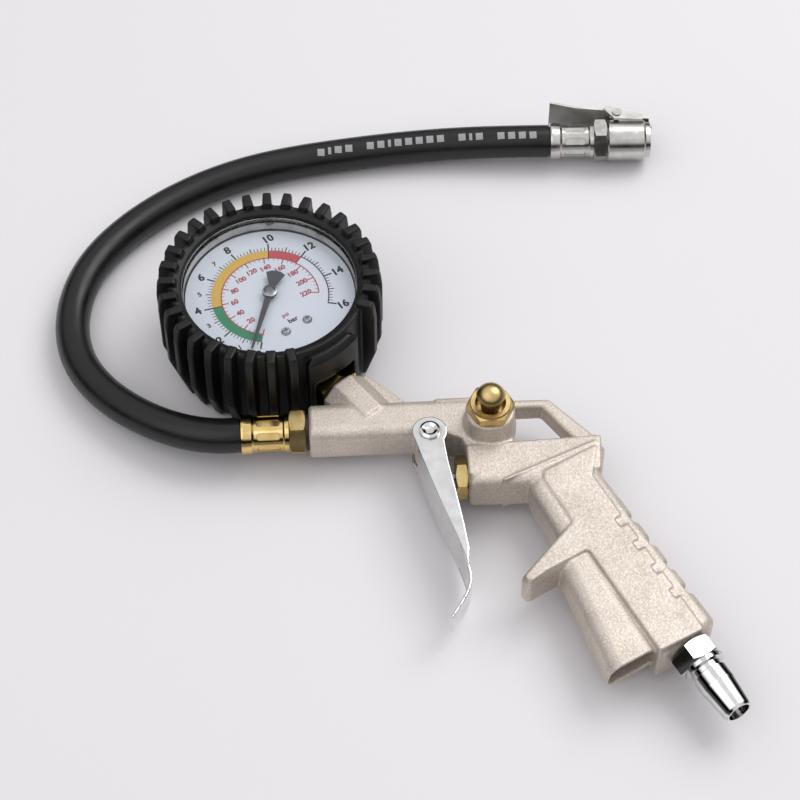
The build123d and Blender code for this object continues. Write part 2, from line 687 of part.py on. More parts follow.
def bourdon_end_piece():
    """Cap soldered to the tube's free end, with the tab that the link hangs on."""
    cap_length = 3.4
    cap = Pos(bourdon_radius, -cap_length / 2 - 0.02, gun_level) * Box(3.2, cap_length, 9.2)
    tab = Pos(bourdon_radius, -cap_length / 2 - 0.02, 18.5) * Box(2.6, cap_length, 2.0)
    return Rot(0, 0, bourdon_tip_angle) * (cap + tab)


def gauge_socket():
    """Brass socket: block inside the case, hexagon and threaded stem."""
    inner = stem_place * (Pos(22.4, 0, 0) * Box(17.6, 9.0, 5.0))
    seat = stem_place * rod_x(24, 34.9, 4.6)
    hexagon = stem_place * hex_x(34.4, 38.4, 14.0, turn=30)
    thread = stem_place * rod_x(38.4, 48.4, port_thread_radius)
    bore = stem_place * rod_x(20, 50, 1.6)
    tube_slot = Rot(0, 0, bourdon_start_angle) * Pos(bourdon_radius, 0, gun_level) * Box(3.0, 9.0, 9.2)
    return inner + seat + hexagon + thread - bore - tube_slot


def socket_washer():
    """Sealing washer between the gauge's hexagon and the casting."""
    ring = rod_x(38.45, neck_end_radius - 0.05, 6.6) - rod_x(38, 41, port_thread_radius + 0.1)
    return stem_place * ring


def plate_place():
    """Frame of the movement plates: X runs from the pinion towards the sector's pivot."""
    return Rot(0, 0, sector_pivot_angle)


def movement_plate(low, high):
    """Plate with bearing holes for both arbors and holes for the pillars."""
    plate = Pos(3.2, 0, 0) * extrude(Pos(0, 0, low) * SlotCenterToCenter(19, 16.5), amount=high - low)
    pinion_hole = rod_z(10, 30, 0.5 + running_clearance)
    sector_hole = Pos(gear_centres, 0, 0) * rod_z(10, 30, 0.6 + running_clearance)
    plate = plate - pinion_hole - sector_hole
    for place in pillar_spots():
        plate = plate - place * rod_z(10, 30, 0.85)
    return plate_place() * plate


def pillar_spots():
    """Pillar positions in the plates' frame."""
    return [Pos(-9.0, side * 4.6, 0) for side in (-1, 1)]


def movement_back_plate():
    """Plate behind the gears, fixed to the socket."""
    return movement_plate(15.6, 16.8)


def movement_front_plate():
    """Plate in front of the gears."""
    return movement_plate(21.9, 22.9)


def movement_pillars():
    """Two shouldered pillars that hold the plates apart, as separate solids."""
    shape = turned_z([(0, 15.0), (0.8, 15.0), (0.8, 16.85), (1.5, 16.85), (1.5, 21.85), (0.8, 21.85),
                      (0.8, 23.6), (0, 23.6)])
    return Compound(children=[plate_place() * place * shape for place in pillar_spots()])


def hairspring():
    """Flat spiral spring above the front plate that takes up the play in the gears."""
    turns, inner, outer = 3, 1.7, 6.2
    count = 12 * turns
    points = []
    for index in range(count + 1):
        angle = 2 * math.pi * turns * index / count
        radius = inner + (outer - inner) * index / count
        points.append((radius * math.cos(angle), radius * math.sin(angle), 24.0))
    path = Spline(*points)
    section = Plane(origin=path @ 0, x_dir=(0, 0, 1), z_dir=path % 0) * Rectangle(0.9, 0.22)
    return sweep(section, path=path)


# ---- hose and its gun-end fittings ---------------------------------------------------------
def ferrule_profile():
    """Half section of a crimped ferrule along X, flared at its hose end."""
    wall_inner = hose_crimped_radius + seat_clearance
    return [(0, wall_inner), (0, 6.7), (0.6, 6.8), (3.4, 6.6), (4.2, 6.05), (14.0, 6.05), (14.6, 6.5),
            (ferrule_length, 6.6), (ferrule_length, wall_inner)]


def crimped_ferrule():
    """Ferrule with eight pressed flats around its middle."""
    ferrule = turned_x(ferrule_profile())
    for index in range(8):
        press = Pos(9.1, 0, 6.55) * fillet(Box(8.0, 2.6, 1.6).edges().filter_by(Axis.Z), 1.0)
        ferrule = ferrule - Rot(45 * index, 0, 0) * press
    return ferrule


def hose_fitting(stem_end, thread_end, thread_radius):
    """Fitting with a hexagon at the ferrule's end, barbs in the hose and a thread beyond."""
    barb_base, barb_tip = 2.5, hose_crimped_bore_radius - 0.05
    hex_start = ferrule_length + 0.1
    barbs = rod_x(1.0, hex_start, barb_base)
    for index in range(4):
        start = 2.0 + index * 3.2
        end = start + 2.6
        barbs = barbs + turned_x([(start, 0), (start, barb_base), (end - 0.2, barb_tip), (end, barb_tip),
                                  (end, 0)])
    hexagon = hex_x(hex_start, stem_end, 14.0)
    thread = rod_x(stem_end, thread_end, thread_radius)
    return barbs + hexagon + thread - rod_x(0, thread_end + 1, 1.6)


def gun_ferrule():
    """Brass ferrule at the gun end of the hose."""
    return gun_hose_place * crimped_ferrule()


def gun_hose_fitting():
    """Brass fitting screwed into the barrel."""
    return gun_hose_place * hose_fitting(21.6, 31.6, port_thread_radius)


def fitting_washer():
    """Sealing washer between the hose fitting and the barrel."""
    ring = rod_x(10.45, barrel_front - 0.05, 6.2) - rod_x(9, 13, port_thread_radius + 0.1)
    return barrel_place * ring


def chuck_ferrule():
    """Nickel-plated ferrule at the chuck end of the hose."""
    return chuck_place * crimped_ferrule()


def chuck_hose_fitting():
    """Nickel-plated fitting screwed into the chuck."""
    return chuck_place * hose_fitting(21.0, 27.0, 4.2)


def hose_path():
    """Centre line of the hose, from the mouth of the gun ferrule round to the chuck ferrule."""
    mouth_gap, straight = 0.7, 7.0
    gun_way = Vector(-1, 0, 0)
    turn = math.radians(chuck_angle)
    chuck_way = Vector(-math.cos(turn), -math.sin(turn), 0)
    gun_mouth = Vector(*gun_hose_start) + gun_way * mouth_gap
    chuck_mouth = Vector(*chuck_start) + chuck_way * mouth_gap
    rest = hose_rest_level
    return Spline(gun_mouth, gun_mouth + gun_way * straight, (-43.5, -36.8, 10.0), (-68.4, -5.5, 6.6),
                  (-66.4, 29.0, rest), (-43.6, 57.6, rest), (-9.0, 76.3, rest), (28.0, 83.6, 6.2),
                  (64.0, 85.7, 7.4), chuck_mouth + chuck_way * straight, chuck_mouth)


def hose():
    """Rubber hose, squeezed thinner inside the two ferrules."""
    path = hose_path()
    start = Plane(origin=path @ 0, z_dir=path % 0)
    tube = sweep(start * (Circle(hose_radius) - Circle(hose_bore_radius)), path=path)
    crimped = rod_x(-1.2, ferrule_length - 0.4, hose_crimped_radius)
    crimped = crimped - rod_x(-2, ferrule_length, hose_crimped_bore_radius)
    return tube + gun_hose_place * crimped + chuck_place * crimped


# ---- clip-on chuck -------------------------------------------------------------------------
def chuck_body():
    """Round chuck body with its slot for the clip's jaw and the cross hole for the pin."""
    back, front, radius = 21.1, 35.2, chuck_body_radius
    body = turned_x([(back, 0), (back, radius - 0.5), (back + 0.6, radius), (front - 0.6, radius),
                     (front, radius - 0.5), (front, 0)])
    socket = rod_x(20, 27.4, 4.2 + seat_clearance)
    valve_bore = rod_x(27.9, 36, tyre_valve_bore_radius + 1.4)
    passage = rod_x(20, 40, 2.6)
    pin_hole = Pos(*clip_pin_at, 0) * Cylinder(1.0 + seat_clearance, 40)
    slot_floor = 4.42
    slot = Pos(clip_pin_at[0], slot_floor + 3, 0) * Box(4.0, 6.0, 4.4)
    return chuck_place * (body - socket - valve_bore - passage - pin_hole - slot)


def chuck_nose_ring():
    """Screwed-in nose that guides the tyre valve."""
    ring = turned_x([(30.4, tyre_valve_bore_radius), (30.4, 5.45), (35.25, 5.45), (35.25, 6.7), (37.0, 6.5),
                     (37.1, 6.3), (37.1, tyre_valve_bore_radius + 0.5), (36.6, tyre_valve_bore_radius)])
    return chuck_place * ring


def chuck_seal():
    """Rubber seal that the tyre valve is pressed against."""
    return chuck_place * (rod_x(28.4, 30.3, 5.4) - rod_x(27, 31, 1.9))


def core_depressor():
    """Brass pin in the middle of the seal that opens the tyre valve's core."""
    pin = rod_x(28.0, 30.3, 0.8)
    spider = rod_x(27.95, 28.35, 5.0) - rod_x(27, 29, 2.6) + Pos(28.15, 0, 0) * Box(0.4, 6, 1.2)
    return chuck_place * (pin + spider)


def clip_lever():
    """Pressed clip: thumb plate, two ears on the pin and a jaw hooked over the nose."""
    ear_gap = chuck_body_radius + 0.25
    half = ear_gap + clip_sheet
    tail = slab([(0.3, 12.4), (0.6, 13.4), (9.0, 10.9), (20.7, 9.4), (20.7, 8.4), (9.0, 9.9)], -7.2, 7.2)
    bridge = slab([(20.4, 8.45), (20.4, 9.45), (22.8, 9.2), (22.8, 8.2)], -half, half)
    roof = slab([(22.6, 8.2), (22.6, 9.2), (38.35, 8.6), (38.35, 7.6)], -3.4, 3.4)
    ear_outline = [(20.4, 9.4), (22.6, 8.9), (34.7, 4.8), (34.0, 2.4), (23.6, 3.1), (20.4, 7.4)]
    ears = slab(ear_outline, ear_gap, half) + slab(ear_outline, -half, -ear_gap)
    hole = Pos(*clip_pin_at, 0) * Cylinder(1.0 + running_clearance, 40)
    jaw = Pos(37.8, 5.9, 0) * Box(1.1, 5.0, 6.8) - rod_x(36, 40, 4.9)
    mark = Pos(8.3, 10.85, 0) * Rot(0, 0, -16.5) * Box(1.2, 0.7, 5.0)
    return chuck_place * (tail + bridge + roof + ears + jaw + mark - hole)


def clip_pin():
    """Rivet through the ears and the chuck body."""
    reach = chuck_body_radius + 1.35
    pin = rod_z(-reach, reach, 1.0)
    heads = rod_z(reach - 0.05, reach + 0.5, 1.7) + rod_z(-reach - 0.5, -reach + 0.05, 1.7)
    return chuck_place * Pos(*clip_pin_at, 0) * (pin + heads)


def clip_spring():
    """Small torsion spring round the pin, in the body's slot."""
    coil = coil_z(1.28, 0.36, -1.6, 1.6, 6)
    return chuck_place * Pos(*clip_pin_at, 0) * coil


# ---- every node, by name -------------------------------------------------------------------
pieces = {
    "gun_body": gun_body,
    "inlet_plug": inlet_plug,
    "valve_gland": valve_gland,
    "gland_seal_ring": gland_seal_ring,
    "stem_o_ring": stem_o_ring,
    "valve_spring": valve_spring,
    "trigger_pin": trigger_pin,
    "trigger_lever": trigger_lever,
    "valve_stem": valve_stem,
    "valve_seal": valve_seal,
    "bleed_valve_body": bleed_valve_body,
    "bleed_button": bleed_button,
    "bleed_valve_disc": bleed_valve_disc,
    "bleed_seal": bleed_seal,
    "bleed_spring": bleed_spring,
    "gauge_boot": gauge_boot,
    "gauge_case": gauge_case,
    "gauge_bezel": gauge_bezel,
    "gauge_lens": gauge_lens,
    "dial_plate": dial_plate,
    "dial_screws": dial_screws,
    "zero_stop_pin": zero_stop_pin,
    "needle": needle,
    "needle_hub": needle_hub,
    "pinion": pinion,
    "sector_gear": sector_gear,
    "link_pin": link_pin,
    "sector_link": sector_link,
    "bourdon_tube": bourdon_tube,
    "bourdon_end_piece": bourdon_end_piece,
    "gauge_socket": gauge_socket,
    "socket_washer": socket_washer,
    "movement_back_plate": movement_back_plate,
    "movement_front_plate": movement_front_plate,
    "movement_pillars": movement_pillars,
    "hairspring": hairspring,
    "hose": hose,
    "gun_ferrule": gun_ferrule,
    "gun_hose_fitting": gun_hose_fitting,
    "fitting_washer": fitting_washer,
    "chuck_ferrule": chuck_ferrule,
    "chuck_hose_fitting": chuck_hose_fitting,
    "chuck_body": chuck_body,
    "chuck_nose_ring": chuck_nose_ring,
    "chuck_seal": chuck_seal,
    "core_depressor": core_depressor,
    "clip_lever": clip_lever,
    "clip_pin": clip_pin,
    "clip_spring": clip_spring,
}

os.makedirs("parts", exist_ok=True)
for name, build in pieces.items():
    export_step(build(), f"parts/{name}.step")
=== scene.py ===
import math

import bmesh
import bpy
from mathutils import Matrix, Vector


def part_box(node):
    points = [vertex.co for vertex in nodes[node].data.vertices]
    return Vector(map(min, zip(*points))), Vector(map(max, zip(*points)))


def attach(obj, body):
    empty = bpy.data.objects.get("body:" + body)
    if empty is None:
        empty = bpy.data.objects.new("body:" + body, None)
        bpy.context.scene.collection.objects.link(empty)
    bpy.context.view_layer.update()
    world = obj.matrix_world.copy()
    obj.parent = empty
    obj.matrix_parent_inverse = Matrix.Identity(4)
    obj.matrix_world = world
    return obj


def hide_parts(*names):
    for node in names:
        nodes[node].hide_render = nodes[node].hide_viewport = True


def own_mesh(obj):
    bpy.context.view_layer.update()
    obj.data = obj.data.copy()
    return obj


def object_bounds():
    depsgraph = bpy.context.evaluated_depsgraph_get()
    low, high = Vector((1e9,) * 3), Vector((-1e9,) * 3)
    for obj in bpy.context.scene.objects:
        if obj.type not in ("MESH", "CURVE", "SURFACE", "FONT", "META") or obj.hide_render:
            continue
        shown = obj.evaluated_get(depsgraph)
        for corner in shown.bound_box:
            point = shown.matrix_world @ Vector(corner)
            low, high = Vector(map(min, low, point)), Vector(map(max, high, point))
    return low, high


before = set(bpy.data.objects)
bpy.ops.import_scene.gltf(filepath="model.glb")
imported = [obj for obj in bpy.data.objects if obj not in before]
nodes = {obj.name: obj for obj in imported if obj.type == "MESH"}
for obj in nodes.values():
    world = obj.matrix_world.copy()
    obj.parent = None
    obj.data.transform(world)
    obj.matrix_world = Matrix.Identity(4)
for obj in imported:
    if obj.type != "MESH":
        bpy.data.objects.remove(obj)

# Blender looks of the tyre inflator. Everything is in metres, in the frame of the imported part:
# the gauge axis is the Z axis, the barrel runs along +X and the dial faces +Z.

cad_low, cad_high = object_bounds()
mm = 0.001


# ---- node graphs ---------------------------------------------------------------------------
class Look:
    """One procedural material: a principled shader with the node calls used below."""

    def __init__(self, name):
        self.material = bpy.data.materials.new(name)
        self.material.use_nodes = True
        self.tree = self.material.node_tree
        self.tree.nodes.clear()
        self.output = self.tree.nodes.new("ShaderNodeOutputMaterial")
        self.shader = self.tree.nodes.new("ShaderNodeBsdfPrincipled")
        self.join(self.shader.outputs["BSDF"], self.output.inputs["Surface"])
        place = self.tree.nodes.new("ShaderNodeTexCoord")
        self.place = place.outputs["Object"]
        self.normal = None

    def join(self, source, target):
        """Link two sockets, or set a plain value."""
        if isinstance(source, bpy.types.NodeSocket):
            self.tree.links.new(source, target)
        else:
            target.default_value = source

    def set(self, **values):
        """Set inputs of the principled shader; underscores stand for spaces."""
        for name, value in values.items():
            self.join(value, self.shader.inputs[name.replace("_", " ")])
        return self

    def noise(self, size, detail=3.0, roughness=0.55):
        """Cloudy value 0 to 1 whose features are about size metres across."""
        node = self.tree.nodes.new("ShaderNodeTexNoise")
        self.join(self.place, node.inputs["Vector"])
        node.inputs["Scale"].default_value = 1 / size
        node.inputs["Detail"].default_value = detail
        node.inputs["Roughness"].default_value = roughness
        return node.outputs["Fac"]

    def cells(self, size):
        """Distance to the nearest of scattered points about size metres apart."""
        node = self.tree.nodes.new("ShaderNodeTexVoronoi")
        self.join(self.place, node.inputs["Vector"])
        node.inputs["Scale"].default_value = 1 / size
        return node.outputs["Distance"]

    def remap(self, value, low, high, out_low, out_high):
        """Value moved from one range to another, clamped."""
        node = self.tree.nodes.new("ShaderNodeMapRange")
        self.join(value, node.inputs["Value"])
        ends = {"From Min": low, "From Max": high, "To Min": out_low, "To Max": out_high}
        for name, number in ends.items():
            node.inputs[name].default_value = number
        return node.outputs["Result"]

    def mix(self, factor, first, second):
        """Colour between two colours."""
        node = self.tree.nodes.new("ShaderNodeMix")
        node.data_type = "RGBA"
        self.join(factor, node.inputs["Factor"])
        for socket, colour in ((node.inputs[6], first), (node.inputs[7], second)):
            self.join(colour if isinstance(colour, bpy.types.NodeSocket) else (*colour, 1), socket)
        return node.outputs[2]

    def sum(self, first, second, factor=1.0):
        """First value plus factor times the second."""
        node = self.tree.nodes.new("ShaderNodeMath")
        node.operation = "MULTIPLY_ADD"
        self.join(second, node.inputs[0])
        node.inputs[1].default_value = factor
        self.join(first, node.inputs[2])
        return node.outputs[0]

    def off_horizon(self):
        """Mask for a painted reflection: 0 where the surface would mirror the dark walls of a studio,
        rising to 1 above and below them.
        """
        place = self.tree.nodes.new("ShaderNodeTexCoord")
        split = self.tree.nodes.new("ShaderNodeSeparateXYZ")
        self.join(place.outputs["Reflection"], split.inputs["Vector"])
        height = self.tree.nodes.new("ShaderNodeMath")
        height.operation = "ABSOLUTE"
        self.join(split.outputs["Z"], height.inputs[0])
        return self.remap(height.outputs[0], 0.26, 0.52, 0.0, 1.0)

    def cavity(self, reach):
        """Ambient occlusion: 1 in the open, towards 0 deep in a corner."""
        node = self.tree.nodes.new("ShaderNodeAmbientOcclusion")
        node.inputs["Distance"].default_value = reach
        node.samples = 4
        return node.outputs["AO"]

    def bump(self, height, distance, strength=1.0):
        """Bump from a height value; distance is the full height in metres."""
        node = self.tree.nodes.new("ShaderNodeBump")
        self.join(height, node.inputs["Height"])
        node.inputs["Distance"].default_value = distance
        node.inputs["Strength"].default_value = strength
        if self.normal:
            self.join(self.normal, node.inputs["Normal"])
        self.normal = node.outputs["Normal"]
        self.join(self.normal, self.shader.inputs["Normal"])
        return self


# ---- materials -----------------------------------------------------------------------------
def cast_metal():
    """Sand-cast alloy under a thin champagne-nickel plating, with a fine even grain."""
    look = Look("cast_champagne_nickel")
    grain = look.noise(0.6 * mm, 3.0, 0.65)
    pits = look.cells(0.9 * mm)
    clouds = look.noise(14 * mm, 2.0)
    tone = look.sum(look.remap(grain, 0.3, 0.7, 0.0, 0.75), look.remap(clouds, 0.35, 0.65, 0.0, 0.25))
    colour = look.mix(tone, (0.46, 0.40, 0.345), (0.80, 0.725, 0.65))
    look.set(Base_Color=colour, Metallic=0.7)
    look.set(Roughness=look.remap(grain, 0.3, 0.7, 0.58, 0.46))
    look.bump(grain, 0.13 * mm, 0.7)
    look.bump(pits, 0.10 * mm, 0.45)
    return look.material


def boot_rubber():
    """Moulded black rubber with a faint mottled texture from the mould."""
    look = Look("moulded_rubber")
    fine = look.noise(0.5 * mm, 4.0, 0.6)
    patches = look.noise(7 * mm, 3.0)
    mottle = look.remap(patches, 0.35, 0.7, 0.0, 1.0)
    colour = look.mix(mottle, (0.004, 0.004, 0.0043), (0.009, 0.009, 0.0095))
    look.set(Base_Color=colour, Roughness=look.remap(patches, 0.3, 0.7, 0.36, 0.5))
    look.set(Specular_IOR_Level=0.32)
    look.bump(fine, 0.035 * mm, 0.7)
    look.bump(patches, 0.12 * mm, 0.5)
    return look.material


def hose_rubber():
    """Extruded black rubber, smoother than the boot, with faint long drawing marks."""
    look = Look("extruded_rubber")
    fine = look.noise(0.7 * mm, 3.0)
    waves = look.noise(9 * mm, 2.0)
    colour = look.mix(waves, (0.005, 0.005, 0.0055), (0.010, 0.010, 0.0105))
    look.set(Base_Color=colour, Roughness=look.remap(waves, 0.3, 0.7, 0.26, 0.38))
    look.set(Specular_IOR_Level=0.4)
    look.bump(fine, 0.02 * mm, 0.5)
    look.bump(waves, 0.15 * mm, 0.4)
    return look.material


def metal(name, dark, light, rough, grain_height=0.01 * mm, wear=0.15, walls=0.0):
    """Machined or plated metal: cloudy tint, fine tool marks, painted shade in recesses and a painted
    reflection of dark walls.
    """
    look = Look(name)
    grain = look.noise(0.35 * mm, 3.0, 0.6)
    clouds = look.noise(5 * mm, 3.0)
    open_to_light = look.remap(look.cavity(1.2 * mm), 0.35, 0.9, 0.0, 1.0)
    tint_and_painted_reflection = look.mix(look.remap(clouds, 0.3, 0.7, 0.0, 1.0), dark, light)
    # Painted reflection: the colour is darkened where the surface would mirror the dark walls near the
    # horizon.
    if walls:
        painted_reflection_fade = look.remap(look.off_horizon(), 0.0, 1.0, 1.0 - walls, 1.0)
        painted_wall_reflection_colour = [0.04 * c for c in dark]
        tint_and_painted_reflection = look.mix(painted_reflection_fade, painted_wall_reflection_colour, tint_and_painted_reflection)
    # Painted shade: the colour is darkened in recesses found by ambient occlusion.
    painted_recess_shade_colour = [0.45 * c for c in dark]
    look.set(Base_Color=look.mix(open_to_light, painted_recess_shade_colour, tint_and_painted_reflection), Metallic=1.0)
    cloudy = look.remap(clouds, 0.3, 0.7, rough, rough * 1.35)
    worn = look.remap(grain, 0.4, 0.7, 0, 1)
    look.set(Roughness=look.sum(cloudy, worn, wear * rough))
    look.bump(grain, grain_height, 0.6)
    return look.material


def plain_rubber():
    """Seals and O-rings."""
    look = Look("seal_rubber")
    fine = look.noise(0.3 * mm, 3.0)
    look.set(Base_Color=look.mix(fine, (0.01, 0.01, 0.01), (0.03, 0.03, 0.03)), Roughness=0.55)
    look.bump(fine, 0.01 * mm, 0.6)
    return look.material


def printed_card():
    """Dial sheet: cool white lacquer with a barely visible texture."""
    look = Look("dial_lacquer")
    fine = look.noise(0.6 * mm, 3.0)
    clouds = look.noise(16 * mm, 2.0)
    colour = look.mix(clouds, (0.72, 0.745, 0.80), (0.80, 0.82, 0.865))
    look.set(Base_Color=colour, Roughness=0.42)
    look.bump(fine, 0.008 * mm, 0.4)
    return look.material


def ink(name, colour):
    """Screen-printed ink, slightly uneven."""
    look = Look(name)
    patches = look.noise(0.5 * mm, 2.0)
    thin_colour = [0.88 * c for c in colour]
    look.set(Base_Color=look.mix(look.remap(patches, 0.3, 0.7, 0.0, 1.0), thin_colour, colour))
    look.set(Roughness=look.remap(patches, 0.3, 0.7, 0.45, 0.6))
    look.bump(patches, 0.01 * mm, 0.5)
    return look.material


def needle_paint():
    """Dark grey satin paint."""
    look = Look("needle_paint")
    fine = look.noise(0.3 * mm, 3.0)
    colour = look.mix(fine, (0.035, 0.037, 0.042), (0.065, 0.067, 0.075))
    look.set(Base_Color=colour, Roughness=0.45)
    look.bump(fine, 0.008 * mm, 0.5)
    return look.material


def window_glass():
    """Thin clear lens: mostly see-through, with a mirror image that grows at grazing angles."""
    look = Look("clear_lens")
    tree = look.tree
    tree.nodes.remove(look.shader)
    clear = tree.nodes.new("ShaderNodeBsdfTransparent")
    clear.inputs["Color"].default_value = (0.965, 0.975, 0.985, 1)
    gloss = tree.nodes.new("ShaderNodeBsdfGlossy")
    smear = look.noise(12 * mm, 2.0)
    look.join(look.remap(smear, 0.3, 0.7, 0.02, 0.07), gloss.inputs["Roughness"])
    fresnel = tree.nodes.new("ShaderNodeFresnel")
    fresnel.inputs["IOR"].default_value = 1.45
    both = tree.nodes.new("ShaderNodeMixShader")
    look.join(look.remap(fresnel.outputs["Fac"], 0.03, 1.0, 0.004, 0.5), both.inputs["Fac"])
    look.join(clear.outputs["BSDF"], both.inputs[1])
    look.join(gloss.outputs["BSDF"], both.inputs[2])
    look.join(both.outputs["Shader"], look.output.inputs["Surface"])
    return look.material


def floor_paper():
    """Pale seamless backdrop."""
    look = Look("backdrop")
    clouds = look.noise(0.4, 2.0)
    fine = look.noise(3 * mm, 2.0)
    colour = look.mix(clouds, (0.75, 0.73, 0.75), (0.79, 0.77, 0.79))
    look.set(Base_Color=colour, Roughness=0.8)
    look.set(Specular_IOR_Level=0.2)
    look.bump(fine, 0.02 * mm, 0.3)
    return look.material


# walls sets how strongly each metal's colour carries the painted reflection of dark walls.
brass = metal("polished_brass", (0.76, 0.52, 0.18), (0.90, 0.68, 0.30), rough=0.13, walls=0.75)
dull_brass = metal("turned_brass", (0.54, 0.38, 0.15), (0.74, 0.57, 0.27),
                   rough=0.27, grain_height=0.015 * mm, walls=0.45)
chrome = metal("bright_chrome", (0.72, 0.715, 0.71), (0.86, 0.855, 0.85),
               rough=0.08, grain_height=0.003 * mm, walls=0.95)
nickel = metal("warm_nickel", (0.52, 0.505, 0.48), (0.70, 0.685, 0.655),
               rough=0.2, grain_height=0.007 * mm, walls=0.45)
steel = metal("spring_steel", (0.42, 0.42, 0.43), (0.6, 0.6, 0.61), rough=0.28)
zinc = metal("dull_zinc_plate", (0.58, 0.57, 0.54), (0.74, 0.73, 0.695), rough=0.32, wear=0.3)

finishes = [
    (cast_metal(), ["gun_body"]),
    (boot_rubber(), ["gauge_boot"]),
    (hose_rubber(), ["hose"]),
    (brass, ["gun_ferrule", "gauge_socket"]),
    (dull_brass, ["gun_hose_fitting", "valve_gland", "bleed_valve_body", "bleed_button",
                  "bleed_valve_disc", "pinion", "sector_gear", "sector_link", "movement_back_plate",
                  "movement_front_plate", "movement_pillars", "bourdon_tube", "bourdon_end_piece",
                  "core_depressor"]),
    (chrome, ["trigger_lever", "trigger_pin", "inlet_plug"]),
    (nickel, ["chuck_ferrule", "chuck_hose_fitting", "chuck_body", "chuck_nose_ring", "clip_pin",
              "gauge_bezel"]),
    (zinc, ["clip_lever"]),
    (steel, ["valve_stem", "valve_spring", "bleed_spring", "gauge_case", "dial_screws",
             "zero_stop_pin", "needle_hub", "link_pin", "hairspring", "clip_spring"]),
    (plain_rubber(), ["gland_seal_ring", "stem_o_ring", "valve_seal", "bleed_seal",
                      "socket_washer", "fitting_washer", "chuck_seal"]),
    (printed_card(), ["dial_plate"]),
    (needle_paint(), ["needle"]),
    (window_glass(), ["gauge_lens"]),
]
for material, names in finishes:
    for name in names:
        slots = nodes[name].data.materials
        slots.clear()
        slots.append(material)


# ---- rounding of cast and moulded edges ----------------------------------------------------
def soften(name, voxel, rounds):
    """Remesh a node finely and relax it, so that its edges are rounded as a casting's are."""
    node = nodes[name]
    remesh = node.modifiers.new("fine_mesh", "REMESH")
    remesh.mode = "VOXEL"
    remesh.voxel_size = voxel
    remesh.use_smooth_shade = True
    relax = node.modifiers.new("round_edges", "SMOOTH")
    relax.factor = 0.5
    relax.iterations = rounds


soften("gun_body", 0.4 * mm, 5)
soften("gauge_boot", 0.4 * mm, 4)
soften("trigger_lever", 0.22 * mm, 8)


# ---- copies of the springs -----------------------------------------------------------------
def working_spring(name):
    """Copy of a CAD spring, standing for it, riding on the gun."""
    coil = bpy.data.objects.new(name + "_coil", nodes[name].data.copy())
    bpy.context.scene.collection.objects.link(coil)
    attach(coil, "gun")
    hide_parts(name)
    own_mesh(coil)


working_spring("valve_spring")
working_spring("bleed_spring")


# ---- dial printing -------------------------------------------------------------------------
# Pressures are in bar and directions in degrees. The scale runs clockwise from its zero.
dial_low, dial_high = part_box("dial_plate")
dial_centre = (dial_low + dial_high) / 2
print_level = dial_high.z + 0.03 * mm
scale_zero = 261.0
scale_sweep = 272.5
scale_top = 16
scale_step = scale_sweep / scale_top
bar_parts = 5
psi_per_bar = 14.504
psi_top = 220
psi_part = 5
psi_numbered = 20
band_inner, band_outer = 17.0 * mm, 20.2 * mm
bands = (("dial_band_green", 0, 4, (0.03, 0.27, 0.115)),
         ("dial_band_yellow", 4, 10, (0.80, 0.48, 0.07)),
         ("dial_band_red", 10, 12, (0.60, 0.075, 0.085)))
text_turn = math.radians(29)
capital_share = 0.7
print_thickness = 0.02 * mm


def scale_angle(pressure):
    """Direction of a pressure in bar on the dial, in radians."""
    return math.radians(scale_zero - scale_step * pressure)


def on_dial(radius, angle):
    """Point of the print at a radius and direction."""
    x = dial_centre.x + radius * math.cos(angle)
    y = dial_centre.y + radius * math.sin(angle)
    return Vector((x, y, print_level))


def add_arc(shape, inner, outer, start, end):
    """Flat ring sector between two pressures."""
    steps = max(2, round(abs(end - start) * 8))
    rows = []
    for index in range(steps + 1):
        angle = scale_angle(start + (end - start) * index / steps)
        rows.append((shape.verts.new(on_dial(inner, angle)), shape.verts.new(on_dial(outer, angle))))
    for (a, b), (c, d) in zip(rows, rows[1:]):
        shape.faces.new((a, b, d, c))


def add_tick(shape, inner, outer, pressure, width):
    """Radial line at a pressure."""
    angle = scale_angle(pressure)
    across = Vector((-math.sin(angle), math.cos(angle), 0)) * width / 2
    near, far = on_dial(inner, angle), on_dial(outer, angle)
    corners = (near - across, far - across, far + across, near + across)
    shape.faces.new([shape.verts.new(corner) for corner in corners])


def add_words(shape, text, radius, angle, height, bold):
    """Lettering whose middle is at a radius and direction, bolder by a rim of the given width."""
    curve = bpy.data.curves.new("lettering", "FONT")
    curve.body = text
    curve.align_x = "CENTER"
    curve.align_y = "CENTER"
    curve.size = height / capital_share
    curve.offset = bold
    curve.resolution_u = 4
    writer = bpy.data.objects.new("lettering", curve)
    bpy.context.scene.collection.objects.link(writer)
    bpy.context.view_layer.update()
    mesh = bpy.data.meshes.new_from_object(writer)
    mesh.transform(Matrix.Translation(on_dial(radius, angle)) @ Matrix.Rotation(text_turn, 4, "Z"))
    shape.from_mesh(mesh)
    bpy.data.objects.remove(writer)
    bpy.data.curves.remove(curve)
    bpy.data.meshes.remove(mesh)


def finish_print(name, shape, material):
    """Turn a flat drawing into a thin solid layer that rides on the gun."""
    mesh = bpy.data.meshes.new(name)
    shape.to_mesh(mesh)
    shape.free()
    piece = bpy.data.objects.new(name, mesh)
    bpy.context.scene.collection.objects.link(piece)
    mesh.materials.append(material)
    layer = piece.modifiers.new("thickness", "SOLIDIFY")
    layer.thickness = print_thickness
    layer.offset = 0
    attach(piece, "gun")
    return piece


def dial_bands():
    """Green, yellow and red bands."""
    for name, start, end, colour in bands:
        shape = bmesh.new()
        add_arc(shape, band_inner, band_outer, start, end)
        finish_print(name, shape, ink(name + "_ink", colour))


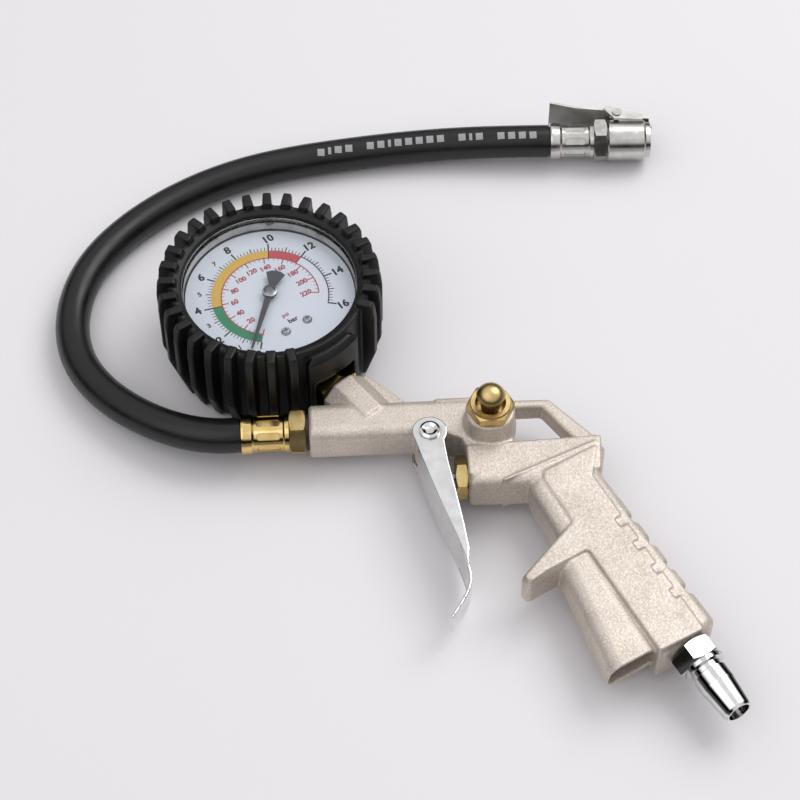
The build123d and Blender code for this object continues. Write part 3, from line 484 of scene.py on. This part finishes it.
def outer_scale():
    """Black scale in bar, with its numbers."""
    shape = bmesh.new()
    line_half_width = 0.2 * mm
    last_band_end = bands[-1][2]
    add_arc(shape, band_outer - line_half_width, band_outer + line_half_width, last_band_end, scale_top)
    for index in range(scale_top * bar_parts + 1):
        reach, width = 1.3 * mm, 0.26 * mm
        if index % bar_parts == 0:
            reach, width = 2.0 * mm, 0.36 * mm
        if index % (2 * bar_parts) == 0:
            reach, width = 3.0 * mm, 0.55 * mm
        add_tick(shape, band_outer, band_outer + reach, index / bar_parts, width)
    for _, _, end, _ in bands:
        add_tick(shape, band_inner, band_outer, end, 0.3 * mm)
    for pressure in range(0, scale_top + 1, 2):
        add_words(shape, str(pressure), radius=25.4 * mm, angle=scale_angle(pressure),
                  height=2.9 * mm, bold=0.16 * mm)
    for pressure in range(1, 8, 2):
        add_words(shape, str(pressure), radius=24.2 * mm, angle=scale_angle(pressure),
                  height=1.8 * mm, bold=0.08 * mm)
    add_words(shape, "bar", radius=13.2 * mm, angle=math.radians(-55), height=1.9 * mm, bold=0.08 * mm)
    finish_print("dial_scale_outer", shape, ink("black_ink", (0.01, 0.01, 0.013)))


def inner_scale():
    """Red scale in psi, with its numbers."""
    shape = bmesh.new()
    line_width = 0.4 * mm
    add_arc(shape, band_inner - line_width, band_inner, 0, psi_top / psi_per_bar)
    for psi in range(0, psi_top + 1, psi_part):
        pressure = psi / psi_per_bar
        reach, width = 1.3 * mm, 0.22 * mm
        if psi % psi_numbered == 0:
            reach, width = 2.5 * mm, 0.42 * mm
        add_tick(shape, band_inner - reach, band_inner, pressure, width)
        if psi % psi_numbered == 0 and psi > 0:
            add_words(shape, str(psi), radius=12.4 * mm, angle=scale_angle(pressure),
                      height=1.9 * mm, bold=0.1 * mm)
    add_words(shape, "psi", radius=10.0 * mm, angle=math.radians(-60), height=1.6 * mm, bold=0.06 * mm)
    finish_print("dial_scale_inner", shape, ink("red_ink", (0.52, 0.06, 0.11)))


dial_bands()
outer_scale()
inner_scale()


# ---- hose printing -------------------------------------------------------------------------
def hose_print():
    """A row of short pale dashes, in place of lettering, lying on the hose near the chuck."""
    hose_object = nodes["hose"]
    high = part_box("hose")[1]
    far_side = high.y - 40 * mm
    far_points = [v.co for v in hose_object.data.vertices if v.co.y > far_side]
    print_start = high.x - 102.5 * mm
    drop_level = high.z + 5 * mm
    search_width = 1.5 * mm
    off_centre = 2.0 * mm
    wide, narrow, gap = 2.6, 1.1, 1.35
    dash_height = 2.6 * mm
    words = ([wide, narrow, wide, wide],
             [wide, wide, narrow] + [wide] * 5,
             [wide, narrow, wide],
             [wide] * 4)
    shape = bmesh.new()
    x = print_start
    for word in words:
        for length in word:
            ring = [co for co in far_points if abs(co.x - x) < search_width]
            if ring:
                middle = (min(co.y for co in ring) + max(co.y for co in ring)) / 2
                add_dash(shape, x, middle - off_centre, length * mm, dash_height, drop_level)
            x += (length + gap) * mm
        x += 3 * gap * mm
    pale_ink = ink("pale_ink", (0.34, 0.34, 0.35))
    lay_on_hose(finish_print("hose_dashes", shape, pale_ink), hose_object)


def lay_on_hose(dashes, hose_object):
    """Drop the flat dashes straight down on to the hose, before they are given their thickness."""
    wrap = dashes.modifiers.new("lie_on_hose", "SHRINKWRAP")
    wrap.target = hose_object
    wrap.wrap_method = "PROJECT"
    wrap.use_project_z = True
    wrap.use_negative_direction = True
    wrap.use_positive_direction = False
    wrap.offset = 0.03 * mm
    dashes.modifiers.move(1, 0)


def add_dash(shape, x, y, length, height, z):
    """Small upright block drawn as a fine grid, so that it can bend over the hose."""
    columns, rows = 3, 4
    grid = []
    for i in range(columns + 1):
        across = x + length * i / columns
        ups = [y - height / 2 + height * j / rows for j in range(rows + 1)]
        grid.append([shape.verts.new((across, up, z)) for up in ups])
    for first, second in zip(grid, grid[1:]):
        for j in range(rows):
            shape.faces.new((first[j], second[j], second[j + 1], first[j + 1]))


hose_print()


# ---- floor, light and camera ---------------------------------------------------------------
camera_place = (0.01836, -0.50352, 0.65562)
camera_tilt = math.radians(36.1)
camera_turn = math.radians(-3)
floor_half_width = 3.0


def make_floor():
    """Large pale sheet under the lowest point."""
    shape = bmesh.new()
    bmesh.ops.create_grid(shape, x_segments=8, y_segments=8, size=floor_half_width)
    mesh = bpy.data.meshes.new("floor")
    shape.to_mesh(mesh)
    shape.free()
    floor = bpy.data.objects.new("floor", mesh)
    floor.location.z = cad_low.z
    bpy.context.scene.collection.objects.link(floor)
    mesh.materials.append(floor_paper())


def area_light(name, place, aim, size, power):
    """Large square soft lamp pointing at a place."""
    data = bpy.data.lights.new(name, "AREA")
    data.shape = "SQUARE"
    data.size = size
    data.energy = power
    lamp = bpy.data.objects.new(name, data)
    lamp.location = place
    lamp.rotation_euler = (Vector(aim) - Vector(place)).to_track_quat("-Z", "Y").to_euler()
    bpy.context.scene.collection.objects.link(lamp)


def make_world():
    """Pale sky over dark walls and ground, so that bright metal shows contrast."""
    world = bpy.data.worlds.new("studio")
    world.use_nodes = True
    tree = world.node_tree
    tree.nodes.clear()
    place = tree.nodes.new("ShaderNodeTexCoord")
    split = tree.nodes.new("ShaderNodeSeparateXYZ")
    tree.links.new(place.outputs["Generated"], split.inputs["Vector"])
    ramp = tree.nodes.new("ShaderNodeValToRGB")
    dark, pale, bright = (0.015, 0.015, 0.016, 1), (0.90, 0.90, 0.92, 1), (1.22, 1.22, 1.24, 1)
    stops = ramp.color_ramp.elements
    stops[0].position, stops[0].color = 0.30, dark
    stops[1].position, stops[1].color = 0.44, pale
    stops.new(0.80).color = bright
    tree.links.new(split.outputs["Z"], ramp.inputs["Fac"])
    background = tree.nodes.new("ShaderNodeBackground")
    background.inputs["Strength"].default_value = 0.70
    tree.links.new(ramp.outputs["Color"], background.inputs["Color"])
    output = tree.nodes.new("ShaderNodeOutputWorld")
    tree.links.new(background.outputs["Background"], output.inputs["Surface"])
    bpy.context.scene.world = world


def make_camera():
    """Long lens looking down from the front."""
    data = bpy.data.cameras.new("camera")
    data.lens = 105
    data.sensor_width = 36
    data.clip_start = 0.01
    camera = bpy.data.objects.new("camera", data)
    camera.location = camera_place
    camera.rotation_euler = (camera_tilt, 0, camera_turn)
    bpy.context.scene.collection.objects.link(camera)
    bpy.context.scene.camera = camera


make_floor()
make_world()
area_light("key", place=(0.75, 0.5, 1.15), aim=(0.03, 0, 0), size=0.9, power=9)
area_light("fill", place=(-0.7, -0.6, 1.2), aim=(0.03, -0.02, 0), size=1.4, power=3.5)
make_camera()
bpy.context.scene.view_settings.view_transform = "Standard"
